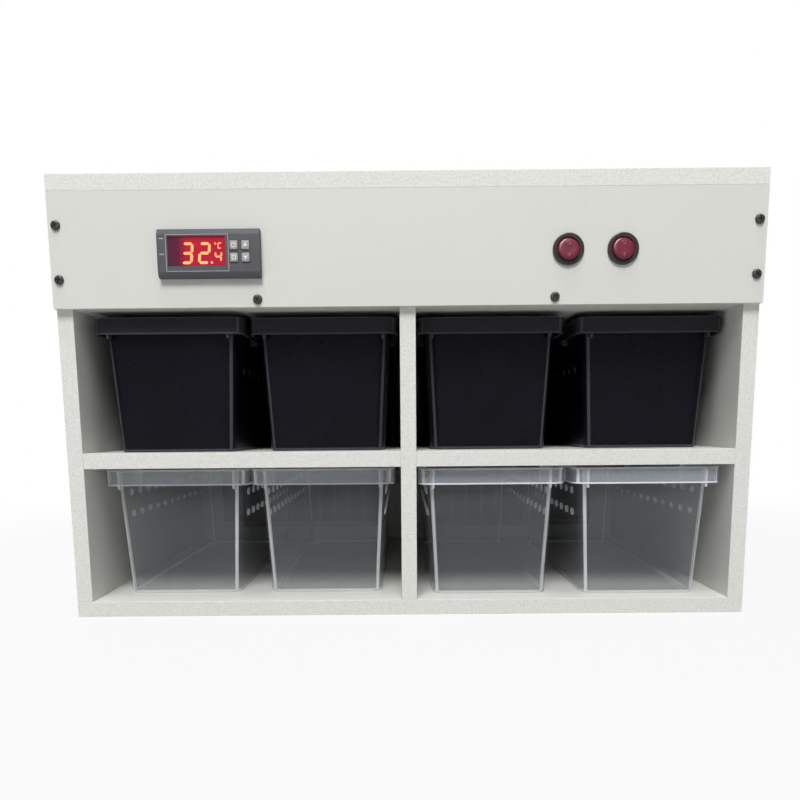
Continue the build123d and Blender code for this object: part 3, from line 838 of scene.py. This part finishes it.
def key_sign(name, x, z):
    """The raised sign of one key, on the key's face."""
    near, far = sign_front, sign_back
    middle_x, middle_z = case_x + x * mm, case_z + z * mm
    if name in ("up", "down"):
        arrow = start_rod("sign", 1.9 * mm, near, far, middle_x, middle_z, 3)
        middle = on_case(x, 0, z)
        points_up = max(corner.co.z for corner in arrow.data.vertices) - middle.z > 1.5 * mm
        if points_up != (name == "up"):
            arrow.data.transform(Matrix.Translation(middle) @ Matrix.Rotation(pi, 4, "Y")
                                 @ Matrix.Translation(-middle))
        return arrow
    if name == "power":
        ring = start_rod("sign", 1.8 * mm, near, far, middle_x, middle_z, 24)
        cut(ring, start_rod("cutter", 1.25 * mm, near - mm, far + mm, middle_x, middle_z, 24),
            start_block("cutter", on_case(x - 0.6, -2.5, z + 0.4), on_case(x + 0.6, 0, z + 2.5)))
        stem = start_block("stem", (case_x + (x - 0.25) * mm, near, case_z + (z + 0.2) * mm),
                           (case_x + (x + 0.25) * mm, far, case_z + (z + 2.1) * mm))
        return join([ring, stem], "sign")
    square = start_block("sign", (case_x + (x - 1.5) * mm, near, case_z + (z - 1.7) * mm),
                         (case_x + (x + 1.5) * mm, far, case_z + (z + 1.7) * mm))
    cut(square, start_block("cutter", on_case(x - 0.9, -2.5, z - 1.1), on_case(x + 0.9, 0, z + 1.1)))
    return square


for name, (x, z) in key_middles.items():
    low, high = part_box(f"key_{name}")
    key = start_block(f"thermostat_key_{name}", low + Vector((0, 0.15 * mm, 0)), high)
    soften(key, 0.5 * mm, 3)
    smooth(key)
    paint(key, key_grey)
    sign = key_sign(name, x, z)
    paint(sign, key_grey, (sign_white, lambda middle, normal: True))
    key = join([key, sign], f"thermostat_key_{name}")
    mount(key, f"key_{name}", "key_plastic", key_grey, f"key_{name}")

# %% [markdown]
# ## The round rocker switches
# A round rocker sits in a 20 mm hole behind a glossy ring. Its cap is clear dark red plastic, so it has
# a soft coat, and the signs on it are faint.

# %% Switch finishes
ring_black = Finish("ring_black", (0.030, 0.018, 0.020), Coat_Weight=0.3)
ring_black.set("Roughness", 0.25 + 0.2 * ring_black.noise(0.006, 3))
ring_black.set("Base Color", ring_black.blend(ring_black.noise(0.005, 3), (0.022, 0.013, 0.015),
                                              (0.050, 0.032, 0.034)))
cap_red = Finish("cap_red", (0.13, 0.006, 0.022), Coat_Weight=0.2, Coat_Roughness=0.12)
cloud = cap_red.noise(0.006, 3)
cap_red.set("Base Color", cap_red.blend(cloud, (0.11, 0.004, 0.017), (0.19, 0.008, 0.030)))
cap_red.set("Roughness", 0.24 + 0.14 * cloud)
sign_pink = Finish("sign_pink", (0.32, 0.09, 0.13), Roughness=0.5)
sign_pink.set("Base Color", sign_pink.blend(sign_pink.noise(0.002, 2), (0.26, 0.06, 0.10),
                                            (0.38, 0.12, 0.17)))
print("switch finishes ready")

# %% [markdown]
# The ring starts as a rod: its face is inset, and the inner disc is pushed in to make the well. The
# rocker is a second rod, with a rounded rim and two signs on its face. That face is turned by ten
# degrees, because the rocker rests pressed at the foot, with its upper rim standing out.

# %% Rings and rockers
rest_tilt = radians(10.3)
ring_radius, cap_radius = 11.5 * mm, 7.9 * mm
for side in ("left", "right"):
    low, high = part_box(f"switch_{side}_housing")
    x, z = (low.x + high.x) / 2, (low.z + high.z) / 2
    ring = start_rod(f"switch_{side}_ring", ring_radius, low.y, face_y, x, z, 72)
    edit(ring, "FACE")
    choose(lambda middle, normal: normal.y < -0.9)
    bpy.ops.mesh.inset(thickness=3.15 * mm)
    bpy.ops.mesh.extrude_region_move(TRANSFORM_OT_translate={"value": (0, 5 * mm, 0)})
    leave()
    soften(ring, 0.6 * mm, 3)
    body = start_rod("switch_body", 9.8 * mm, face_y - 0.5 * mm, high.y, x, z, 48)
    soften(body, 0.4 * mm)
    ring = join([ring, body], f"switch_{side}_ring")
    smooth(ring)
    mount(ring, "cabinet", "switch_black", ring_black, f"switch_{side}_housing")

    cap_front = low.y - 0.75 * mm
    cap = start_rod(f"switch_{side}_cap", cap_radius, cap_front, low.y + 3.8 * mm, x, z, 72)
    edit(cap, "FACE")
    choose(lambda middle, normal: normal.y > 0.9)
    bpy.ops.transform.resize(value=(0.88, 1, 0.88))
    choose(lambda middle, normal: normal.y < -0.9)
    bpy.ops.mesh.inset(thickness=0.5 * mm)
    shift(y=-0.45 * mm)
    bpy.ops.mesh.inset(thickness=0.8 * mm)
    shift(y=-0.2 * mm)
    bpy.ops.mesh.inset(thickness=2.2 * mm)
    shift(y=0.10 * mm)
    leave()
    smooth(cap, 40)
    paint(cap, cap_red)
    mark_y = cap_front - 0.62 * mm
    stroke = start_block("mark", (x - 0.3 * mm, mark_y, z - 5.6 * mm),
                         (x + 0.3 * mm, mark_y + 0.3 * mm, z - 3.2 * mm))
    bpy.ops.object.select_all(action="DESELECT")
    bpy.ops.mesh.primitive_torus_add(location=(x, mark_y + 0.12 * mm, z + 4.3 * mm),
                                     rotation=(pi / 2, 0, 0), major_radius=1.15 * mm,
                                     minor_radius=0.26 * mm, major_segments=28, minor_segments=8)
    loop = settle("mark")
    for mark in (stroke, loop):
        paint(mark, cap_red, (sign_pink, lambda middle, normal: True))
    cap = join([cap, stroke, loop], f"switch_{side}_cap")
    turn = Matrix.Rotation(-rest_tilt, 4, "X")
    pivot = Matrix.Translation((x, cap_front - 0.5 * mm, z))
    for corner in cap.data.vertices:
        if corner.co.y < cap_front + tiny:
            corner.co = pivot @ turn @ pivot.inverted() @ corner.co
    mount(cap, f"switch_{side}_rocker", "rocker_red", cap_red, f"switch_{side}_rocker")

# %% [markdown]
# ## Screws
# Small pan-head screws with a cross recess hold the front and the back panel. One head is made at the
# origin: a short rod, its rim rounded to a dome, and two narrow blocks cut out as a cross.

# %% One screw head
dark_steel = Finish("dark_steel", (0.060, 0.056, 0.046), Metallic=0.7)
rub = dark_steel.noise(0.0016, 4)
dark_steel.set("Base Color", dark_steel.blend(rub, (0.035, 0.033, 0.028), (0.150, 0.145, 0.125)))
dark_steel.set("Roughness", 0.35 + 0.3 * rub)
dark_steel.emboss(rub, 0.05 * mm, 0.4)

head = start_rod("head", 3.7 * mm, -2.2 * mm, 0, 0, 0, 32)
edit(head, "FACE")
choose(lambda middle, normal: normal.y < -0.9)
bpy.ops.transform.resize(value=(0.80, 1, 0.80))
leave()
soften(head, 0.7 * mm, 3, 30)
slots = []
for width, height in ((4.6, 0.85), (0.85, 4.6)):
    slots.append(start_block("cutter", (-width / 2 * mm, -3 * mm, -height / 2 * mm),
                             (width / 2 * mm, -0.9 * mm, height / 2 * mm)))
cut(head, *slots)
smooth(head, 30)
print("screw head has", len(head.data.polygons), "faces")

# %% [markdown]
# The head is copied to every place and turned a little differently each time, as screws end up. The
# places follow the middle of the board that each screw bites into.

# %% Screws in their places
half_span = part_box("front_panel")[1].x - 6 * mm
left_end = -263 * mm
bay_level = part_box("bay_floor")[0].z
front_places = [(side * half_span, bay_level + height * mm) for side in (-1, 1) for height in (20.5, 59)]
front_places += [(left_end + left * mm, bay_level + 5.5 * mm) for left in (152, 372)]
back_places = [(side * 193 * mm, height) for height in (6 * mm, bay_level + 6 * mm) for side in (-1, 1)]
back_places += [(side * half_span, height * mm) for side in (-1, 1) for height in (64.5, 182.75)]
quarter_turns = (0.2, 1.1, 0.7, 1.4, 0.5, 0.9, 1.3, 0.1)

for node, places, y, about in (("front_panel_screws", front_places, face_y, 0),
                               ("back_panel_screws", back_places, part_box("back_panel")[1].y, pi)):
    heads = []
    for (x, z), angle in zip(places, quarter_turns):
        focus(head)
        bpy.ops.object.duplicate()
        bpy.context.object.location = (x, y, z)
        bpy.context.object.rotation_euler = (0, angle, about)
        heads.append(settle("screw"))
    mount(join(heads, f"{node}_heads"), "cabinet", "dark_screw", dark_steel, node)
bpy.data.objects.remove(head)

# %% [markdown]
# ## The cable gland
# A nylon gland lets the supply cable through the back panel. Its hexagon and its dome nut are rods with
# six sides and with many, and the dome's face is drawn in and rounded. The bore is cut from each rod
# before they are joined, because a cut through two overlapping rods can lose one of them.

# %% Gland
black_nylon = Finish("black_nylon", (0.030, 0.030, 0.030), Specular_IOR_Level=0.4)
nylon_wear = black_nylon.noise(0.004, 3)
black_nylon.set("Base Color", black_nylon.blend(nylon_wear, (0.022, 0.022, 0.022), (0.048, 0.048, 0.048)))
black_nylon.set("Roughness", 0.45 + 0.2 * nylon_wear)

seal_low, seal_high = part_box("gland_seal")
gland_x, gland_z = (seal_low.x + seal_high.x) / 2, (seal_low.z + seal_high.z) / 2
back_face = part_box("back_panel")[1].y


def gland_piece(name, node, lengths, radii, bore, sides):
    """A rod with the given sides, a second round stage, and a bore through both."""
    near, middle, far = (back_face + length * mm for length in lengths)
    first = start_rod(name, radii[0] * mm, near, middle, gland_x, gland_z, sides)
    soften(first, 0.5 * mm)
    stage = start_rod("stage", radii[1] * mm, middle - 0.2 * mm, far, gland_x, gland_z, 48)
    edit(stage, "FACE")
    choose(lambda place, normal: normal.y > 0.9)
    bpy.ops.transform.resize(value=(radii[2], 1, radii[2]))
    leave()
    soften(stage, 0.9 * mm, 3)
    for solid in (first, stage):
        for cutter_near, cutter_far, radius in bore:
            cut(solid, start_rod("cutter", radius * mm, back_face + cutter_near * mm,
                                 back_face + cutter_far * mm, gland_x, gland_z, 40))
    piece = join([first, stage], name)
    smooth(piece, 30)
    mount(piece, "cabinet", "gland_nylon", black_nylon, node)


gland_piece("gland_hexagon", "gland_body", (0, 2.5, 4.8), (10.9, 9.6, 0.98), [(-1, 6, 4)], 6)
gland_piece("gland_dome", "gland_dome_nut", (5, 13.4, 19), (10.9, 9.4, 0.62),
            [(4, 14, 5.72), (13, 20, 3.7)], 6)

# %% [markdown]
# ## Heating films and the pieces behind the fascia
# The remaining nodes already have the right shape, so they stay and get finishes of their own. The
# heating film is carbon printed in bands between two copper strips, seen at the back of each
# compartment. Its pattern comes from the remainder of X and Z, so one finish fits all four films.

# %% Finishes for the carried-over nodes
film = Finish("heating_film", (0.03, 0.03, 0.032), Coat_Weight=0.3, Roughness=0.4)
band_place = film.node("Math", {"operation": "WRAP"}, {0: film.along("X"), 1: 0.0, 2: 18 * mm})
row_place = film.node("Math", {"operation": "WRAP"}, {0: film.along("Z"), 1: 0.0, 2: 119.25 * mm})
carbon = band_place.above(3 * mm, 0.6 * mm)
copper = row_place.below(33 * mm, 0.5 * mm).larger(row_place.above(89 * mm, 0.5 * mm))
dull = film.blend(carbon, (0.085, 0.085, 0.080), (0.020, 0.020, 0.022))
film.set("Base Color", film.blend(copper, dull, (0.28, 0.13, 0.06)))
film.set("Roughness", 0.35 + 0.2 * film.noise(0.01, 3))

finish_of_slot = {"heating_film": film, "gland_nylon": black_nylon, "controller_plastic": case_plastic}
plain_slots = [
    ("lead_insulation", (0.020, 0.020, 0.022), (0.045, 0.045, 0.048), 0.5),
    ("white_nylon", (0.62, 0.61, 0.56), (0.76, 0.75, 0.70), 0.45),
    ("probe_sleeve", (0.018, 0.018, 0.018), (0.040, 0.040, 0.040), 0.4),
    ("circuit_board", (0.020, 0.110, 0.045), (0.035, 0.160, 0.070), 0.4),
    ("orange_clip", (0.70, 0.20, 0.020), (0.82, 0.28, 0.040), 0.45),
    ("brass_blade", (0.62, 0.48, 0.20), (0.76, 0.62, 0.30), 0.3),
    ("seal_rubber", (0.014, 0.014, 0.014), (0.030, 0.030, 0.030), 0.7),
]
for slot, dark, light, roughness in plain_slots:
    finish = Finish(slot, dark, Metallic=1.0 if slot == "brass_blade" else 0.0)
    patches = finish.noise(0.006, 4)
    finish.set("Base Color", finish.blend(patches, dark, light))
    finish.set("Roughness", roughness + 0.2 * patches)
    finish.emboss(finish.noise(0.0015, 2), 0.05 * mm, 0.4)
    finish_of_slot[slot] = finish

slot_of_node = {entry["node"]: entry["material_slot"] for entry in frame["record"]["subparts"]}
for name, node in frame["nodes"].items():
    if not node.hide_render:
        for material_slot in node.material_slots:
            material_slot.material = finish_of_slot[slot_of_node[name]].material
        print(name, "keeps its shape as", slot_of_node[name])

# %% [markdown]
# ## The camera
# The photograph was taken from straight in front with the eye just above the middle shelf. Place, turn
# and lens are those that lay the edges of the boards over the photograph's.

# %% Camera
camera = bpy.data.objects.new("camera", bpy.data.cameras.new("camera"))
bpy.context.collection.objects.link(camera)
camera.data.sensor_width = 36
camera.data.lens = 31.5
camera.data.shift_y = 0.15
camera.location = (-0.0051, -0.6979, 0.1484)
turn, pitch, roll = 0.00352, radians(90 - 7.67), -0.0084
camera.rotation_euler = (Matrix.Rotation(turn, 3, "Z") @ Matrix.Rotation(pitch, 3, "X")
                         @ Matrix.Rotation(roll, 3, "Z")).to_euler()
bpy.context.scene.camera = camera
print("camera at", tuple(round(v, 3) for v in camera.location))

# %% [markdown]
# ## The light
# The light in the photograph is soft and comes from above and in front. A large lamp gives that light
# and its short soft shadows, a small steep one lights the front edge of each floor, and a third lights
# the back.

# %% Lamps
def lamp(name, size, power, place, target):
    """A square soft lamp that points at a target."""
    light = bpy.data.lights.new(name, "AREA")
    light.size = size
    light.energy = power
    body = bpy.data.objects.new(name, light)
    bpy.context.collection.objects.link(body)
    body.location = place
    body.rotation_euler = (Vector(target) - Vector(place)).to_track_quat("-Z", "Y").to_euler()
    print(name, "gives", power, "watts")


lamp("room_light", 1.3, 105, (-0.2, -2.2, 2.9), (0, -0.1, 0.2))
lamp("ceiling_light", 0.5, 14, (0.0, -0.55, 2.3), (0, -0.16, 0.1))
lamp("rear_fill", 1.5, 36, (-1.2, 2.7, 1.1), (0, 0.1, 0.15))

# %% [markdown]
# A dim world fills in. The background and most of the floor are white only to the camera, so they light
# nothing. Near the box an eighth of the floor's real surface is mixed in, which keeps a faint shadow.
# A line of sight can pass through a dozen plastic walls, so more transparent bounces are allowed.

# %% Floor and background
pale = Finish("pale_floor", (0.45, 0.45, 0.44), Roughness=0.9)
seen = pale.node("LightPath", {}, {}, "Is Camera Ray")
mirrored = pale.node("LightPath", {}, {}, "Is Glossy Ray")
passed = pale.node("LightPath", {}, {}, "Is Transmission Ray")
white = pale.node("Emission", {}, {"Color": (1, 1, 1, 1), "Strength": 1.0})
reach = pale.node("VectorMath", {"operation": "LENGTH"}, {0: pale.place()}, "Value")
share = seen.larger(mirrored * 0.15).larger(passed) * (0.88 + 0.12 * reach.above(0.75, 0.6))
mixed = pale.node("MixShader", {}, {0: share, 1: Value(pale, pale.shader.outputs[0]), 2: white})
pale.tree.links.new(mixed.socket, pale.tree.nodes["Material Output"].inputs["Surface"])

bpy.ops.object.select_all(action="DESELECT")
bpy.ops.mesh.primitive_plane_add(size=14, location=(0, 0, -0.2 * mm))
floor = settle("floor")
floor.data.materials.append(pale.material)

world = bpy.data.worlds.new("world")
world.use_nodes = True
bpy.context.scene.world = world
tree = world.node_tree
sky = tree.nodes["Background"]
sky.inputs["Color"].default_value = (0.95, 0.98, 1.0, 1)
sky.inputs["Strength"].default_value = 0.28
backdrop = tree.nodes.new("ShaderNodeBackground")
backdrop.inputs["Color"].default_value = (1, 1, 1, 1)
path = tree.nodes.new("ShaderNodeLightPath")
mix = tree.nodes.new("ShaderNodeMixShader")
tree.links.new(path.outputs["Is Camera Ray"], mix.inputs[0])
tree.links.new(sky.outputs[0], mix.inputs[1])
tree.links.new(backdrop.outputs[0], mix.inputs[2])
tree.links.new(mix.outputs[0], tree.nodes["World Output"].inputs["Surface"])
bpy.context.scene.view_settings.view_transform = "Standard"
bpy.context.scene.cycles.transparent_max_bounces = 48
print("stage ready")

# %% [markdown]
# ## Finish
# The number of pieces made is printed.

# %% The count and the end
print(len(made), "pieces made")
